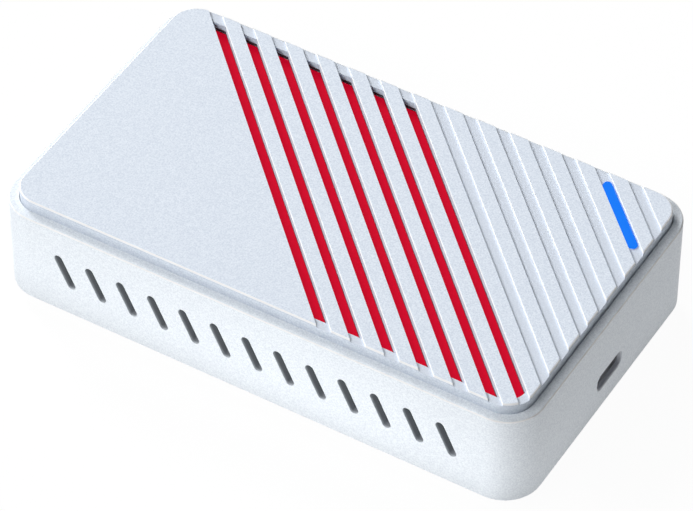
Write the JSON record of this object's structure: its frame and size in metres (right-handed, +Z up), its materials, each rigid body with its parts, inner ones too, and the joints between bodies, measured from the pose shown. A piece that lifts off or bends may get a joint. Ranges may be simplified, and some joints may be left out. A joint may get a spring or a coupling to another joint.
{
  "type": "video capture box",
  "caption": "Flat rounded video capture box with a lift-off ribbed faceplate over a red insert sheet, slanted side vents, a light bar, and data and video sockets at its ends.",
  "frame": {"origin": "middle of the footprint, on the surface that the feet stand on", "axes": "+X along the length to the end with the data socket, -Y to the front vented wall, +Z up through the faceplate"},
  "size_m": [0.1126, 0.0662, 0.026],
  "materials": {
    "housing_plastic": "fine matte texture, cool white",
    "cover_plastic": "fine matte texture, cool white",
    "faceplate_plastic": "fine speckled matte texture, cool white",
    "printed_film": "smooth printed red",
    "light_guide": "lit blue diffuser",
    "lamp_resin": "clear resin",
    "board_laminate": "green solder mask",
    "socket_steel": "drawn and plated",
    "socket_plastic": "moulded black",
    "seal_rubber": "moulded, matte dark grey",
    "chip_resin": "moulded charcoal",
    "thermal_pad": "soft grey",
    "heatsink_aluminium": "extruded, lightly anodised",
    "pin_nylon": "moulded dark",
    "crystal_can": "drawn can",
    "inductor_ferrite": "pressed powder",
    "capacitor_can": "drawn can",
    "screw_steel": "zinc plated",
    "foot_rubber": "matte"
  },
  "bodies": {
    "casing": {"main_housing": "housing_plastic", "bottom_cover": "cover_plastic", "insert_sheet": "printed_film", "light_guide": "light_guide", "status_lamp": "lamp_resin", "main_board": "board_laminate", "data_socket_shell": "socket_steel", "data_socket_tongue": "socket_plastic", "data_seal": "seal_rubber", "video_in_shell": "socket_steel", "video_in_core": "socket_plastic", "video_out_shell": "socket_steel", "video_out_core": "socket_plastic", "video_processor": "chip_resin", "thermal_pad": "thermal_pad", "heatsink": "heatsink_aluminium", "heatsink_pins": "pin_nylon", "memory_chips": "chip_resin", "data_controller": "chip_resin", "video_receiver": "chip_resin", "video_driver": "chip_resin", "flash_chip": "chip_resin", "crystals": "crystal_can", "power_inductors": "inductor_ferrite", "capacitors": "capacitor_can", "board_screws": "screw_steel", "cover_screws": "screw_steel", "foot_front_left": "foot_rubber", "foot_front_right": "foot_rubber", "foot_rear_left": "foot_rubber", "foot_rear_right": "foot_rubber"},
    "lift_plate": {"faceplate": "faceplate_plastic"}
  },
  "joints": [
    {"name": "faceplate_lift", "type": "slide", "parent": "casing", "child": "lift_plate", "axis": [0, 0, 1], "range_m": [0, 0.03]}
  ]
}
